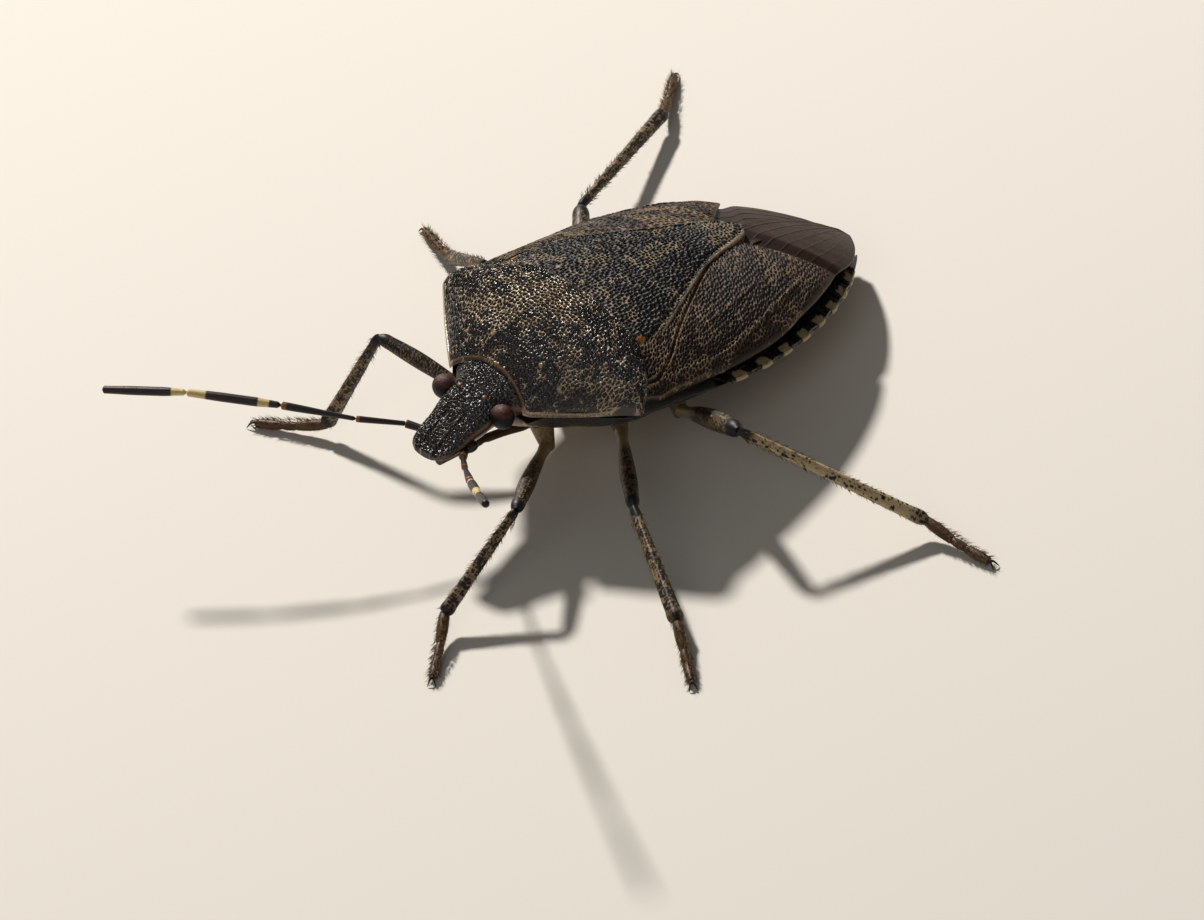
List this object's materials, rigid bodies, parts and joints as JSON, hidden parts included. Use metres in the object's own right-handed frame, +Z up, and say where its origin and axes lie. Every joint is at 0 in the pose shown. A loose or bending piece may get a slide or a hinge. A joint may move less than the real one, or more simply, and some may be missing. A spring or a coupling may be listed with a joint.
{
  "type": "shield bug",
  "caption": "Life-size shield bug standing in mid stride: broad shouldered trunk, long shield over folded wings with a veined tip, jointed legs, and feelers held out ahead",
  "frame": {"origin": "on the floor, under the middle of the bug's box", "axes": "+Z up; -Y the way the bug faces, with its trunk's long line in the YZ plane; +X its left side"},
  "size_m": [0.0224, 0.022, 0.0071],
  "materials": {
    "dark_cuticle": "dark brown cuticle, finely pitted, with tan bumps and a waxy shine",
    "wing_leather": "brown-black leathery wing with rows of pits and tan specks",
    "wing_film": "smooth brown wing membrane with raised veins, faintly glossy",
    "pale_underside": "pale straw cuticle with fine pits",
    "banded_edge": "cuticle banded in black and cream",
    "eye_lens": "granular dark red compound eye",
    "antenna_cuticle": "dark brown cuticle with ivory bands",
    "femur_cuticle": "dark mottled cuticle with a shiny knee",
    "tibia_cuticle": "tan cuticle with black pits",
    "tarsus_cuticle": "golden brown hairy foot cuticle"
  },
  "bodies": {
    "root": {"abdomen": "pale_underside", "antenna_left": "antenna_cuticle", "antenna_right": "antenna_cuticle", "connexivum_left": "banded_edge", "connexivum_right": "banded_edge", "coxa_front_left": "pale_underside", "coxa_front_right": "pale_underside", "coxa_hind_left": "pale_underside", "coxa_hind_right": "pale_underside", "coxa_middle_left": "pale_underside", "coxa_middle_right": "pale_underside", "eye_left": "eye_lens", "eye_right": "eye_lens", "femur_front_left": "femur_cuticle", "femur_front_right": "femur_cuticle", "femur_hind_left": "femur_cuticle", "femur_hind_right": "femur_cuticle", "femur_middle_left": "femur_cuticle", "femur_middle_right": "femur_cuticle", "head": "dark_cuticle", "membrane_left": "wing_film", "membrane_right": "wing_film", "metathorax": "pale_underside", "pronotum": "dark_cuticle", "prothorax": "pale_underside", "rostrum": "pale_underside", "scutellum": "dark_cuticle", "tarsus_front_left": "tarsus_cuticle", "tarsus_front_right": "tarsus_cuticle", "tarsus_hind_left": "tarsus_cuticle", "tarsus_hind_right": "tarsus_cuticle", "tarsus_middle_left": "tarsus_cuticle", "tarsus_middle_right": "tarsus_cuticle", "tibia_front_left": "tibia_cuticle", "tibia_front_right": "tibia_cuticle", "tibia_hind_left": "tibia_cuticle", "tibia_hind_right": "tibia_cuticle", "tibia_middle_left": "tibia_cuticle", "tibia_middle_right": "tibia_cuticle", "wing_left": "wing_leather", "wing_right": "wing_leather"}
  },
  "joints": []
}
